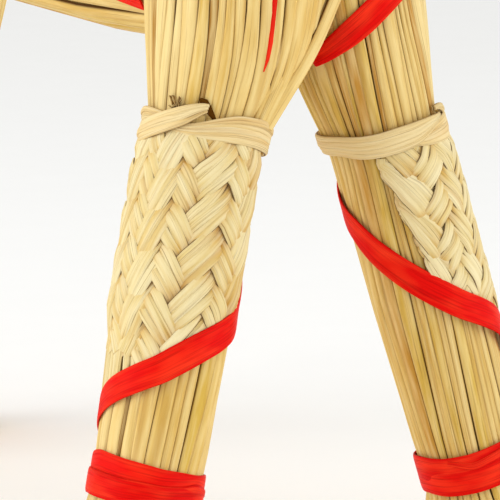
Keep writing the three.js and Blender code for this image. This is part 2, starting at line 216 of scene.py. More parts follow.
def strandTree():
    tree = bpy.data.node_groups.new("strands on their paths", "GeometryNodeTree")
    face = tree.interface
    face.new_socket("Geometry", in_out="INPUT", socket_type="NodeSocketGeometry")
    for name, kind, value in strandInputs:
        socket = face.new_socket(name, in_out="INPUT", socket_type=kind)
        if value is not None:
            socket.default_value = value
    face.new_socket("Geometry", in_out="OUTPUT", socket_type="NodeSocketGeometry")
    b = Board(tree)

    def geo(kind, *rest):
        return b.add("GeometryNode" + kind, *rest)

    given = b.add("NodeGroupInput")
    size = {name: given.out(name) for name, _, _ in strandInputs}

    def store(geometry, name, value, kind="FLOAT", domain="POINT"):
        return geo("StoreNamedAttribute", {"data_type": kind, "domain": domain},
                   {"Geometry": geometry, "Name": name, "Value": value})

    def named(name, kind="FLOAT"):
        return geo("InputNamedAttribute", {"data_type": kind}, {"Name": name})

    def chance(low, high, seed):
        return b.add("FunctionNodeRandomValue", {"data_type": "FLOAT"},
                     {"Min": low, "Max": high, "ID": geo("InputIndex"), "Seed": seed}, "Value")

    path = geo("MeshToCurve", {}, {0: given})
    path = store(path, "centre", geo("InputPosition"), "FLOAT_VECTOR")
    path = store(path, "along", geo("SplineParameter", {}, {}, "Length"))
    path = store(path, "size", chance(1.0 - size["Size Spread"], 1.0 + size["Size Spread"],
                                      size["Seed"] + 7.0), "FLOAT", "CURVE")
    path = store(path, "own", chance(0.0, 60.0, size["Seed"] + 13.0), "FLOAT", "CURVE")
    ring = geo("CurvePrimitiveCircle", {}, {"Resolution": size["Sides"], "Radius": 1.0})
    ring = store(ring, "section", geo("InputPosition"), "FLOAT_VECTOR")
    swept = geo("CurveToMesh", {}, {"Curve": path, "Profile Curve": ring, "Fill Caps": True})

    part = b.add("ShaderNodeSeparateXYZ", {}, {0: named("section", "FLOAT_VECTOR")})
    own = named("size") * named("girth")

    def squared(value):  # keeps the sign, and draws a round section towards a flat band
        return b.add("ShaderNodeMath", {"operation": "SIGN"}, {0: value}) * abs(value) ** size["Corner"]

    sideways = squared(part) * size["Width"] * own * 0.5
    upward = (squared(part.out("Y")) * size["Thickness"] * 0.5 * named("depth")
              - part * part * size["Bow"])
    place = b.vec("ADD", named("centre", "FLOAT_VECTOR"), b.vec(
        "ADD", b.vec("SCALE", named("across", "FLOAT_VECTOR"), sideways),
        b.vec("SCALE", named("facing", "FLOAT_VECTOR"), upward)))
    shaped = geo("SetPosition", {}, {"Geometry": swept, "Position": place})

    def over(kind, value, limit):
        return b.add("FunctionNodeCompare", {"data_type": kind, "operation": "GREATER_THAN"},
                     {"A": value, "B": limit})

    ends = over("INT", geo("InputMeshFaceNeighbors"), 4)  # the caps have more sides than the rest
    smooth = geo("SetShadeSmooth", {}, {"Geometry": shaped, "Shade Smooth": True})
    smooth = geo("SetShadeSmooth", {}, {"Geometry": smooth, "Selection": ends, "Shade Smooth": False})
    rim = geo("ExtrudeMesh", {"mode": "FACES"}, {
        "Mesh": smooth, "Selection": ends, "Offset Scale": 0.0, "Individual": True})
    narrow = geo("ScaleElements", {}, {"Geometry": rim, "Selection": rim.out("Top"), "Scale": 0.66})
    sunk = geo("ExtrudeMesh", {"mode": "FACES"}, {
        "Mesh": narrow, "Selection": rim.out("Top"), "Offset Scale": -1.0 * size["Hollow"],
        "Individual": True})
    result = geo("Switch", {"input_type": "GEOMETRY"}, {
        "Switch": over("FLOAT", size["Hollow"], 0.0), "False": smooth, "True": sunk})
    real = geo("RealizeInstances", {}, {"Geometry": result})
    done = geo("SetMaterial", {}, {"Geometry": real, "Material": size["Material"]})
    b.add("NodeGroupOutput", {}, {0: done})
    return tree


strands = strandTree()


# Sweeps strands along paths into one piece. A path is a tone and rows of (point, facing, girth, depth) in
# millimetres, with a shift of the tone as a fifth value where it changes on the way.
def makeStrands(name, kind, paths, cut, *nodes):
    points, edges = [], []
    columns = {"facing": [], "across": [], "girth": [], "depth": [], "tone": []}
    for tone, path in paths:
        first = len(points)
        places = [put(row[0]) for row in path]
        for i, (_, up, girth, depth, *shift) in enumerate(path):
            ahead = (places[min(i + 1, len(path) - 1)] - places[max(i - 1, 0)]).normalized()
            up = Vector(up)
            up = (up - ahead * up.dot(ahead)).normalized()
            row = up, up.cross(ahead), girth, depth, clamp(tone + sum(shift))
            for column, value in zip(columns.values(), row):
                column.append(value)
            if i:
                edges.append((first + i - 1, first + i))
        points += places
    mesh = bpy.data.meshes.new(name + "Paths")
    mesh.from_pydata(points, edges, [])
    for label, column in columns.items():
        if label in ("facing", "across"):
            layer = mesh.attributes.new(label, "FLOAT_VECTOR", "POINT")
            layer.data.foreach_set("vector", [c for v in column for c in v])
        else:
            mesh.attributes.new(label, "FLOAT", "POINT").data.foreach_set("value", column)
    guide = addObject(name + "Paths", mesh)
    sweep = guide.modifiers.new("strands", "NODES")
    sweep.node_group = strands
    values = {"Width": cut["width"], "Thickness": cut["thickness"], "Bow": cut.get("bow", 0.0),
              "Corner": cut.get("corner", 1.0), "Sides": cut["sides"],
              "Size Spread": cut.get("spread", 0.0), "Hollow": cut.get("hollow", 0.0),
              "Seed": cut.get("seed", build["seed"]), "Material": look[kind]}
    for item in strands.interface.items_tree:
        if item.in_out == "INPUT" and item.name in values:
            value = values[item.name]
            if item.name in ("Width", "Thickness", "Bow", "Hollow"):
                value *= 0.001
            sweep[item.identifier] = value
    view = bpy.context.evaluated_depsgraph_get()
    view.update()
    plain = bpy.data.meshes.new_from_object(guide.evaluated_get(view))
    plain.name = name
    bpy.data.objects.remove(guide)
    turnOut(plain)
    piece = addObject(name, plain)
    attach(piece, "root")
    if nodes:
        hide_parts(*nodes)


def turnOut(mesh):
    shape = bmesh.new()
    shape.from_mesh(mesh)
    bmesh.ops.recalc_face_normals(shape, faces=shape.faces)
    shape.to_mesh(mesh)
    shape.free()


def lerp(a, b, t):
    return a + (b - a) * t


def clamp(value, low=0.0, high=1.0):
    return max(low, min(high, value))


def span(low, high, steps):
    return [lerp(low, high, i / steps) for i in range(steps + 1)]


# Reads rows of [place, value, value ...] in rising order of place.
def read(rows, place, column=1):
    if place <= rows[0][0]:
        return rows[0][column]
    for low, high in zip(rows, rows[1:]):
        if place <= high[0]:
            return lerp(low[column], high[column], (place - low[0]) / (high[0] - low[0]))
    return rows[-1][column]


# The same rows, but eased at the corners.
def readSoft(rows, place, reach, column=1):
    return sum(read(rows, place + reach * k, column) for k in (-1, -0.5, 0, 0.5, 1)) / 5


# A smooth curve through points, with even spacing along it.
class Curve:
    def __init__(self, points, sideways=(1, 0, 0)):
        ends = [Vector(p) for p in points]
        knots = [ends[0] * 2 - ends[1]] + ends + [ends[-1] * 2 - ends[-2]]
        self.sideways = Vector(sideways)
        self.spots = []
        for a, b, c, d in zip(knots, knots[1:], knots[2:], knots[3:]):
            gaps = [max((q - p).length, 1e-4) ** 0.5 for p, q in ((a, b), (b, c), (c, d))]
            m1 = ((b - a) / gaps[0] - (c - a) / (gaps[0] + gaps[1]) + (c - b) / gaps[1]) * gaps[1]
            m2 = ((c - b) / gaps[1] - (d - b) / (gaps[1] + gaps[2]) + (d - c) / gaps[2]) * gaps[1]
            for i in range(40):
                t = i / 40
                self.spots.append(b + m1 * t + (c - b) * 3 * t * t - m1 * 2 * t * t - m2 * t * t
                                  + (b - c) * 2 * t ** 3 + (m1 + m2) * t ** 3)
        self.spots.append(ends[-1])
        self.reach = [0.0]
        for p, q in zip(self.spots, self.spots[1:]):
            self.reach.append(self.reach[-1] + (q - p).length)

    def at(self, t):
        goal = clamp(t) * self.reach[-1]
        i = max(bisect_left(self.reach, goal), 1)
        share = (goal - self.reach[i - 1]) / max(self.reach[i] - self.reach[i - 1], 1e-9)
        return self.spots[i - 1].lerp(self.spots[i], share)

    def frame(self, t):
        ahead = (self.at(t + 0.01) - self.at(t - 0.01)).normalized()
        across = (self.sideways - ahead * self.sideways.dot(ahead)).normalized()
        return ahead, across, ahead.cross(across)

    def out(self, rows, t, degrees):
        return self.shell(rows, t, degrees, 5) - self.shell(rows, t, degrees)

    def shell(self, rows, t, degrees, extra=0.0, share=1.0):
        _, across, up = self.frame(t)
        angle = math.radians(degrees)
        return (self.at(t) + across * math.cos(angle) * (share * read(rows, t, 1) + extra)
                + up * math.sin(angle) * (share * read(rows, t, 2) + extra))


# The legs have the sizes of the solids, but for the slimmer feet of the hind pair.
legs = {
    "fore": {"spread": 72.5, "y": -95.0, "splay": 0.276, "lean": 0.094},
    "hind": {"spread": 40.0, "y": 195.0, "splay": 0.1, "lean": -0.2},
    "bindings": {"right": {"ankle": 35.0, "tie": 141.5}, "left": {"ankle": 29.5, "tie": 135.5}},
}


def shank(side):
    ankle, tie = legs["bindings"][side]["ankle"], legs["bindings"][side]["tie"]
    return [[0, 25.5], [ankle - 8, 16.9], [ankle, 15.9], [ankle + 8, 16.8], [(ankle + tie) / 2, 17.7],
            [tie, 17.3]]


legRadius = {
    "fore": {"right": shank("right") + [[153, 21.7], [162, 25.7], [184, 28.7], [222, 28], [250, 22]],
             "left": shank("left") + [[147, 19.3], [162, 22.2], [184, 26], [222, 28], [250, 22]]},
    "hind": {name: [[0, 22]] + shank(name)[1:] + [[162, 23], [184, 27.5], [222, 25], [250, 15]]
             for name in ("right", "left")},
}


def axisRows(pair, bend):
    spread, splay = legs[pair]["spread"], legs[pair]["splay"]
    return [[0, spread], [bend[0][0] - 9, spread - (bend[0][0] - 9) * splay]] + bend


hindBend = [[184, 21.6], [222, 16], [250, 10]]
legAxis = {
    "fore": {"right": axisRows("fore", [[153, 28.2], [162, 23.5], [184, 19.5], [222, 16], [250, 14]]),
             "left": axisRows("fore", [[171, 25.3], [184, 22], [222, 16], [250, 14]])},
    "hind": {"right": axisRows("hind", hindBend), "left": axisRows("hind", hindBend)},
}


def sideOf(name):
    return 1 if name == "left" else -1


class Leg:
    def __init__(self, pair, name):
        self.pair, self.name, self.side = pair, name, sideOf(name)
        self.node = f"{pair}leg_{name}"
        self.tie = legs["bindings"][name]["tie"]

    def surface(self, height):
        return read(legRadius[self.pair][self.name], height)

    # Angle 0 faces forward on a foreleg and back on a hindleg, 90 degrees faces outward. The rings lie
    # level at the sole and the shoulder, and square to the leg between them.
    def point(self, height, degrees, radius):
        use, angle = legs[self.pair], math.radians(degrees)
        out, ahead = math.sin(angle) * radius, math.cos(angle) * radius
        square = clamp(min(height / 20, (205 - height) / 40))
        return Vector((
            self.side * (read(legAxis[self.pair][self.name], height) + out),
            use["y"] + use["lean"] * height + math.copysign(1, use["y"]) * ahead,
            height + square * (out * use["splay"] + ahead * abs(use["lean"])),
        ))

    def facing(self, height, degrees):
        return (self.point(height, degrees, 20) - self.point(height, degrees, 10)).normalized()

    # A point that stands off the surface, and the way that it faces there.
    def spot(self, height, degrees, lift):
        return self.point(height, degrees, self.surface(height) + lift), self.facing(height, degrees)

    # Keeps the straws of one leg on their own side of the plane where the pair meets.
    def flat(self, point, room):
        edge = self.side * build["middle"][self.pair] + 0.2 + room
        point.x = self.side * max(self.side * point.x, edge)
        return point


# A dark core, so that nothing shows through a bundle; its dark colour is painted shade for what shows between
# the straws.
def makeCore(name, path, sides):
    makeStrands(name, "core", [(0.5, path)], {"width": 10, "thickness": 10, "sides": sides})


# Straws from the foot to the tie, and from the tie to the shoulder. Each row is the edge between two
# straws, in degrees at each of the heights, and the tone of the straw that follows it. The rest of the
# way round is filled with straws of mixed widths.
strawEdges = {
    "right": {
        "shank": {"heights": [40, 70], "rows": [
            [134, 130, 0.35], [116, 112, 0.16], [94, 88, 0.3], [75, 71, 0.95], [70, 66, 0.34],
            [56.6, 54, 0.42], [41, 35.8, 0.52], [23, 18.6, 0.46], [2, -3.3, 0.72], [-10.5, -23.5, 0.62],
            [-28, -44, 0.25], [-46, -60, 0.4]]},
        "shoulder": {"heights": [145, 175], "rows": [
            [150, 130, 0.3], [130, 114, 0.22], [111, 101, 0.92], [104, 93, 0.12], [95.5, 80.5, 0.1],
            [71, 69, 0.24], [61, 57.6, 0.6], [47, 50.3, 0.9], [42.6, 44.6, 0.36], [23, 34, 0.42],
            [16.7, 26.7, 0.34], [0, 18, 0.3], [-13, 7, 0.34], [-21.6, 0, 0.45], [-30, -9, 0.4],
            [-38, -24, 0.5]]},
    },
    "left": {
        "shank": {"heights": [37, 88, 132], "rows": [
            [-125, -122, -112, 0.5], [-104, -109, -92, 0.5], [-83, -82, -76, 0.78], [-72, -69, -63, 0.7],
            [-63, -53, -47, 0.5], [-48, -40, -39, 0.62], [-39, -29, -27, 0.4], [-24.5, -14, -10, 0.62],
            [-12.5, -3, 0, 0.5], [2.5, 8, 12, 0.4], [20, 24, 26, 0.3]]},
        "shoulder": {"heights": [140, 170], "rows": [
            [-110, -112, 0.6], [-87, -90, 0.7], [-81, -83, 0.6], [-69.5, -67, 0.8], [-64, -59, 0.8],
            [-58.7, -51, 0.62], [-54.8, -46.5, 0.8], [-44.5, -38, 0.6], [-33.6, -28, 0.86],
            [-29, -24.5, 0.45], [-10, -13, 0.36], [0, -2.8, 0.3], [14.8, 3.4, 0.36], [33, 12, 0.82],
            [42, 17, 0.15], [52.5, 30, 0.1], [70, 48, 0.3]]},
    },
}
strawCut = {"width": 5.0, "thickness": 3.2, "corner": 0.72, "sides": 12, "hollow": 3.0}
legStraws = {
    "step": 5.0, "overlap": 1.03, "shank": 19, "shoulder": 30, "split": {"right": 5.6, "left": 4.0},
    "widest": 8.0,
    # rings of straws inside, under a shank and a shoulder and then in a foot: number, how deep, top
    "under": [17, 26], "foot": [[15, 5.2, 40], [12, 8.8, 36], [9, 12.6, 33], [5, 17.0, 30], [1, 23.0, 28]],
}


# Edges are listed for the forelegs only. A hind leg gets straws of mixed widths all the way round.
def edgeTable(leg, part, dice):
    name, known = leg.name, leg.pair == "fore"
    table = strawEdges[name][part]
    heights, rows = table["heights"], [list(row) for row in table["rows"]]
    if not known:
        rows = [[0.0] * len(heights) + [0.4]]
    turn = -360.0 if rows[-1][0] < rows[0][0] or not known and name == "right" else 360.0
    last = rows[-1]
    goal = [value + turn for value in rows[0][:-1]]
    weights = [dice.uniform(0.7, 1.3) for _ in range(max(legStraws[part] - len(rows), 3))]
    run = 0.0
    for weight in weights:
        share = (run + weight) / (sum(weights) + 1.0)
        run += weight
        rows.append([lerp(a, b, share) for a, b in zip(last[:-1], goal)]
                    + [clamp(dice.gauss(0.45, 0.2))])
    rows.append(goal + [0.4])
    split = []
    for here, following in zip(rows, rows[1:]):
        split.append(here)
        wide = math.radians(abs(following[0] - here[0])) * read(legRadius["fore"][name], heights[0])
        if wide > legStraws["split"][name]:
            share = dice.uniform(0.42, 0.58)
            split.append([lerp(p, q, share) for p, q in zip(here[:-1], following[:-1])]
                         + [clamp(here[-1] + dice.uniform(-0.12, 0.14))])
    return heights, split + rows[-1:]


def eased(path, rounds):
    points = [row[0] for row in path]
    for _ in range(rounds):
        middle = [(a + b * 2 + c) / 4 for a, b, c in zip(points, points[1:], points[2:])]
        points = points[:1] + middle + points[-1:]
    return [(point, *row[1:]) for point, row in zip(points, path)]


def strawsBetween(leg, part, dice, low, high):
    heights, rows = edgeTable(leg, part, dice)
    paths = []
    for here, following in zip(rows, rows[1:]):
        deep = dice.uniform(-0.25, 0.3)
        phase, sway = dice.uniform(0, 9), dice.uniform(0.2, 1.0)
        start = low + dice.uniform(0.9, 2.2)
        path = []
        for height in span(start, high, int((high - low) / legStraws["step"])):
            edges = [read([*zip(heights, row)], height) for row in (here, following)]
            surface = leg.surface(height)
            radius = surface - strawCut["thickness"] * 0.5 - deep
            wide = math.radians(abs(edges[1] - edges[0])) * (surface - 0.5)
            degrees = (edges[0] + edges[1]) / 2 + sway * math.sin(height / 30 + phase)
            thin = clamp(wide / 4.2, 0.45, 1.0)
            point = leg.point(height, degrees, radius - (1 - thin) * 0.4)
            point = leg.flat(point, 1.8)
            girth = min(wide, legStraws["widest"]) * legStraws["overlap"] / strawCut["width"]
            path.append((point, leg.facing(height, degrees), girth, thin ** 0.5))
        paths.append((here[-1] + dice.uniform(-0.05, 0.05), eased(path, 10 if part == "shoulder" else 1)))
    return paths


def innerStraws(leg, dice, count, sunk, low, high, tone):
    paths = []
    for k in range(count):
        degrees = 360.0 * (k + 0.5 + dice.uniform(-0.2, 0.2)) / count
        deep = sunk + dice.uniform(-0.3, 0.4)
        top = high - dice.uniform(0, 2)
        path = []
        for height in span(low, top, max(5, int((top - low) / 8.0))):
            radius = max(leg.surface(height) - deep - 1.6, 1.4)
            girth = clamp(2 * math.pi * radius / (count * strawCut["width"]) * 1.1, 0.5, 1.15)
            point = leg.flat(leg.point(height, degrees, radius), 1.8 + deep)
            path.append((point, leg.facing(height, degrees), girth, 1.0))
        paths.append((tone + dice.uniform(-0.1, 0.1), path))
    return paths


# Straws that leave one foreleg at its tie and cross the chest to the other, and what shows behind them.
chestStraws = [  # tone, width, depth, then the points
    [0.3, 4.4, 1.0, (-22.6, -98.5, 143), (-15.9, -99.5, 152.6), (-8.9, -99.5, 161.5), (-2.2, -98.5, 170.5),
     (4.2, -97.5, 181), (13, -97, 197), (20, -94, 215), (19, -84, 240)],
    [0.55, 3.2, 1.0, (-24.6, -98.5, 143), (-19.4, -99.5, 152.6), (-12.3, -98.8, 162.8), (-6.0, -97.5, 171.8),
     (-0.6, -96.5, 181), (9, -96, 198), (15, -93, 217), (15, -83, 241)],
    [0.25, 3.0, 1.0, (-26.5, -99.2, 143), (-21.2, -100.2, 153.6), (-14.6, -99.4, 163.4), (-8.6, -98.0, 172.4),
     (-3.2, -96.8, 181), (6, -96, 199), (11, -93, 218), (11, -83, 241)],
    [0.75, 2.6, 0.9, (-24.0, -96.5, 146), (-16.5, -97.0, 158), (-9.0, -96.0, 168), (-3.4, -95.0, 176),
     (2.0, -94.0, 186), (8, -93, 204), (12, -90, 222), (12, -82, 241)],
    [0.95, 2.2, 0.9, (-21.4, -97.6, 147), (-14.0, -98.0, 157.6), (-6.6, -97.2, 167.4), (-0.6, -96.2, 175.6),
     (4.8, -95.2, 185.6), (11, -94, 203), (16, -91, 222), (16, -82, 241)],
    [0.45, 2.6, 1.0, (-27.6, -98.6, 144), (-22.8, -99.6, 154.6), (-17.0, -99.0, 164.6), (-11.6, -97.8, 173.6),
     (-6.8, -96.6, 182.2), (1, -95.5, 200), (6, -92.5, 219), (6, -82.5, 241)],
    [0.9, 3.0, 0.9, (-9.5, -94.0, 164), (-7.5, -93.6, 174), (-6.0, -93.0, 186), (-5.0, -91.5, 206),
     (-5.0, -88, 226), (-6.0, -80, 243)],
]


def chestPaths():
    paths = []
    for tone, width, depth, *points in chestStraws:
        curve = Curve(points)
        paths.append((tone, [(curve.at(t), (0.12, -1.0, 0.15), width / strawCut["width"], depth * 0.85)
                             for t in span(0, 1, 32)]))
    return paths


# Loose fibres where the end of the raffia comes out of the straws.
fray = {"count": 12, "degrees": (61, 70), "height": (142.5, 145.5), "turn": (-5, 5), "climb": (0.5, 2.4)}


def looseFibres(leg, dice):
    paths = []
    for _ in range(fray["count"]):
        degrees, height, turn, climb = (dice.uniform(*fray[key])
                                        for key in ("degrees", "height", "turn", "climb"))
        path = []
        for i in range(3):
            angle, place = degrees + turn * i / 2, height + climb * i / 2
            path.append((*leg.spot(place, angle, 0.3 + 0.3 * (i % 2)), 0.12, 0.2))
        paths.append((dice.uniform(0.9, 1.0), path))
    return paths


# Painted shade: a dark strip laid on the straws beside the raffia, for the gap where a straw is cut off at a
# slant: [degrees, height, width].
gapShadeRows = [[45, 147.6, 0.9], [40.5, 146.8, 2.6], [36.5, 145.6, 2.4], [31.5, 144.1, 1.9], [25.5, 142.2, 0.8]]


def makeGapShade(leg):
    path = [(*leg.spot(height, degrees, 0.25), width / 10, 0.1)
            for degrees, height, width in gapShadeRows]
    makeCore(f"{leg.node}_gap", path, 10)


def makeLeg(leg):
    dice = random.Random(build["seed"] + len(leg.pair + leg.name) * 3)
    shankUnder, shoulderUnder = legStraws["under"]
    paths = strawsBetween(leg, "shank", dice, 0.0, leg.tie + 2.0)
    paths += strawsBetween(leg, "shoulder", dice, leg.tie - 2.5, 251.0)
    # the inner rings under the shank and the shoulder take the darkest tone, painted shade for the straws
    # that show in the gaps
    paths += innerStraws(leg, dice, shankUnder, 2.3, 1.5, leg.tie, 1.0)
    paths += innerStraws(leg, dice, shoulderUnder, 2.2, leg.tie - 3, 247.0, 1.0)
    for count, sunk, high in legStraws["foot"]:
        paths += innerStraws(leg, dice, count, sunk, 1.5, high, 0.6)
    if leg.node == "foreleg_right":
        paths += chestPaths() + looseFibres(leg, dice)
        makeGapShade(leg)
    makeStrands(f"{leg.node}_straws", "straw", paths, dict(strawCut, seed=5 + len(leg.name)), leg.node)
    core = []
    for height in span(20, 244, 25):
        point = leg.point(height, 0, 0)
        point.x = leg.side * max(leg.side * point.x, 15)
        size = 2 * (leg.surface(height) - 5.0) / 10 * (0.72 if height > 170 else 1.0)
        core.append((point, (0, -1, 0), size, size))
    makeCore(f"{leg.node}_heart", core, 20)


# A band wound round a leg. Its rows are [degrees, height, lift, width].
def legBand(leg, rows, step, tone=0.5, shift=0.0, share=1.0, tucked=False):
    rows = rows if rows[0][0] < rows[-1][0] else rows[::-1]
    start, stop = rows[0][0], rows[-1][0]
    steps = max(4, int(abs(stop - start) / step))
    path = []
    for i, degrees in enumerate(span(start, stop, steps)):
        height, lift, wide = (readSoft(rows, degrees, 5.0, column) for column in (1, 2, 3))
        if tucked:
            lift = lerp(build["tuck"], lift, clamp(min(i, steps - i) / 3))
        climb = (read(rows, degrees + 4, 1) - read(rows, degrees - 4, 1)) / math.radians(8)
        radius = leg.surface(height)
        slant = math.hypot(1, climb / max(radius, 1))
        place = height + shift * wide * slant
        point = leg.point(place, degrees, leg.surface(place) + lift)
        path.append((point, leg.facing(height, degrees), wide * share / ribbonCut["width"], 1.0))
    return tone, path


# A band of raffia is a few flat strips side by side.
def splitBand(leg, rows, dice, strips):
    paths = []
    for k in range(strips):
        shift = ((k + 0.5) / strips - 0.5) * 0.86
        raised = [[r[0], r[1], r[2] + dice.uniform(-0.15, 0.15) - abs(shift) * 0.9, r[3]] for r in rows]
        paths.append(legBand(leg, raised, 4.0, 0.4 + dice.uniform(-0.15, 0.15), shift, 1.5 / strips))
    return paths


ribbonPaths = {
    "right": [[-190, 131, 0.5, 8.5], [-110, 109, 0.5, 8.8], [-62, 93, 0.7, 9], [-46, 88, 1.0, 9],
              [-30, 84.5, 1.9, 9], [5, 77, 2.6, 9], [40, 68, 2.4, 8.8], [66, 63.7, 1.6, 8.6],
              [93, 60, 0.8, 8.4], [120, 56, 0.6, 8.2], [155, 50.5, 0.5, 8.2]],
    "left": [[-165, 125, 0.5, 8.6], [-95, 110.5, 0.6, 8.8], [-51, 96, 0.8, 9], [-6, 81.5, 2.4, 9],
             [35, 71.5, 2.6, 9], [80, 58, 1.8, 8.8], [118, 47, 0.6, 8.6]],
}
shoulderPaths = {
    "left": [[-80, 165.5, 1.3, 4.0], [-59, 168, 1.4, 6.0], [-40, 171.5, 1.2, 8.0], [-25, 175, 1.0, 8.5],
             [2, 182.4, 0.8, 8.8], [30, 190, 0.7, 9], [95, 208, 0.5, 9]],
    "right": [[-40, 214, 0.7, 9], [95, 232, 0.6, 9]],
}
ribbonCut = {"width": 9.0, "thickness": 0.7, "corner": 0.4, "sides": 24, "bow": 0.25}
ankleTurns = {
    "right": [
        [[-200, 33, 0.9, 8], [-60, 33.5, 1.1, 8], [-24, 33.0, 1.3, 7.6], [16, 31.6, 1.5, 7.4],
         [60, 31.9, 1.7, 7.6], [90, 33.2, 1.9, 7.8], [115, 34.5, 1.8, 7.8], [165, 34, 1.2, 8]],
        [[-210, 38, 0.7, 7], [-60, 38.5, 0.7, 6], [-24, 38.8, 0.7, 3.0], [-6, 38.0, 0.8, 4.6],
         [20, 37.2, 0.9, 6], [60, 38.2, 0.9, 6.6], [98, 40.2, 0.8, 6.6], [160, 38.5, 0.7, 7]],
        [[-70, 35.2, 1.5, 2.2], [-24, 36.4, 1.5, 2.6], [0, 34.9, 1.5, 1.8], [22, 34.2, 1.1, 1.0]],
    ],
    "left": [
        [[-190, 30, 0.8, 8], [-98, 32.6, 1.2, 9.0], [-66, 31.4, 1.4, 9.4], [-36, 31.2, 1.4, 9.4],
         [-4, 31.8, 1.3, 9.2], [60, 31.5, 1.0, 9], [175, 30, 0.8, 8]],
        [[-180, 27, 0.9, 8], [-98, 28.6, 1.3, 8.2], [-66, 27.6, 1.6, 8.4], [-36, 27.3, 1.6, 8.4],
         [-4, 27.6, 1.5, 8.4], [60, 27, 1.2, 8], [185, 27, 0.9, 8]],
        [[-60, 34.6, 1.7, 1.2], [-36, 31.6, 1.9, 2.4], [-10, 32.8, 1.9, 3.0], [20, 34.4, 1.8, 3.2],
         [60, 34.5, 1.2, 3]],
    ],
}


def makeLegRibbons(leg):
    wound = legBand(leg, ribbonPaths[leg.name], 3.0, tucked=True)
    makeStrands(f"{leg.node}_ribbon_wound", "ribbon", [wound], ribbonCut, f"{leg.node}_ribbon")
    turns = [legBand(leg, rows, 4.0, 0.35 + 0.3 * (k % 2)) for k, rows in enumerate(ankleTurns[leg.name])]
    makeStrands(f"{leg.node}_ankle_turns", "ribbon", turns, dict(ribbonCut, bow=0.2),
                f"{leg.node}_ankle_binding")


ties = {
    "right": [
        [[-235, 140, 1.5, 7], [-120, 141, 1.5, 8], [-60, 140.8, 1.8, 8.2], [-41, 141.0, 2.0, 8.4],
         [-20, 141.4, 2.1, 9.0], [5, 140.9, 2.0, 8.6], [25, 139.6, 1.9, 6.6], [43, 138.4, 1.7, 4.6],
         [60, 138.2, 1.2, 4.2], [80, 140.3, 1.0, 6.0], [106, 141.6, 1.2, 7.0], [128, 141, 1.5, 7]],
        [[36, 145.6, 0.2, 2.0], [42, 144.4, 2.2, 3.6], [58, 141.6, 2.9, 5.6], [78, 139.3, 2.9, 6.4],
         [98, 137.6, 2.6, 6.4], [120, 137, 2.0, 6], [150, 137.5, 1.6, 6]],
    ],
    "left": [
        [[-170, 137, 1.4, 7], [-110, 138.5, 1.6, 6.6], [-80, 138.3, 1.8, 6.6], [-57, 136.6, 2.0, 7.6],
         [-40, 136.1, 2.0, 7.8], [-20, 136.2, 2.1, 8.0], [-4, 136.3, 2.3, 7.4], [14, 137.4, 2.5, 4.6],
         [28, 138.0, 2.2, 2.2], [36, 138.2, 0.8, 1.2]],
        [[-14, 134.4, 1.0, 2.0], [4, 133.6, 1.6, 4.4], [24, 133.7, 2.0, 6.6], [45, 133.6, 2.1, 8.0],
         [80, 134, 1.8, 7.6], [190, 137, 1.4, 7]],
        [[28, 140.6, 0.6, 1.2], [34, 141.2, 1.9, 2.0], [42, 139.4, 1.9, 2.2], [56, 137, 1.2, 2.0]],
    ],
}
tieCut = {"width": 9.0, "thickness": 1.7, "corner": 0.7, "sides": 10}


def makeTie(leg):
    dice = random.Random(build["seed"] + 90)
    paths = []
    for rows in ties[leg.name]:
        paths += splitBand(leg, rows, dice, 5 if rows[0][3] > 3 else 3)  # a narrow band has fewer
    makeStrands(f"{leg.node}_tie_wound", "raffia", paths, tieCut, f"{leg.node}_raffia_tie")


# A braid has two sets of strands, one rising and one falling round the leg, each over two and under two.
# Each row is a line where the set on top changes: [degrees at 105 high, degrees for each mm up, height of
# a rising strand there, height from strand to strand], tops and bottoms in turn.
braids = {
    "right": [[-38, 0.0, 116.7, 13.0], [-16, 0.0, 108.7, 13.0], [2.5, -0.1, 129.2, 12.9],
              [33.6, -0.06, 116.0, 13.0], [57, -0.24, 125.8, 12.3], [75.5, -0.28, 117.7, 12.2],
              [95, -0.3, 128.7, 12.4], [113, -0.3, 119.6, 12.6], [132, -0.2, 129.0, 12.6]],
    "left": [[-32, -0.7, 114.0, 12.6], [-14, -0.1, 108.7, 12.6], [8, 0.1, 115.2, 13.2],
             [28, 0.3, 117.1, 13.2], [48, 0.1, 126.1, 13.0], [72, 0.0, 116.1, 13.0], [95, 0.0, 125.1, 13.0]],
    "strips": 3, "width": 8.3, "wave": 1.0, "rest": 1.35, "climb": 1.45, "steps": 7,
    # the left braid's paler tone is painted light, making up for the key lamp lighting that leg less
    "radius": 19.6, "level": 105.0, "strands": 16, "overlap": 1.36, "tone": {"right": 0.32, "left": 0.16},
}
braidFoot = {"right": [[-46, 87], [5, 76], [40, 67], [55, 68], [66, 72], [95, 72], [130, 74]],
             "left": [[-46, 94], [-6, 81.5], [35, 71.5], [80, 60], [98, 58]]}
braidEnds = {"from": 52, "to": 128, "steps": 12, "top": 88}
braidCut = {"width": 9.0, "thickness": 1.3, "corner": 0.7, "sides": 8, "seed": 9}
braidFold = [[9.5, 17, 0.2], [6.8, 10.5, 0.25], [4.2, 4.6, 0.4], [2.2, 1.2, 0.7], [0.9, 0.0, 0.95]]


# Height of strand 0 of both sets at each line. The rising set climbs as evenly as its strands allow,
# and the falling set is placed so that each crosses two of the others between two lines.
def braidHeights(lines):
    rising, falling = [lines[0][2]], [lines[0][2] - lines[0][3] / 2]
    for i in range(1, len(lines)):
        climb = braids["climb"] * math.radians(lines[i][0] - lines[i - 1][0]) * braids["radius"]
        goal, pitch = rising[-1] + climb, lines[i][3]
        rising.append(lines[i][2] + pitch * round((goal - lines[i][2]) / pitch))
        falling.append(rising[-1] - pitch * (0.5 + 2 * i))
    return {1: rising, -1: falling}


def lineAt(line, height):
    return line[0] + line[1] * (height - braids["level"])


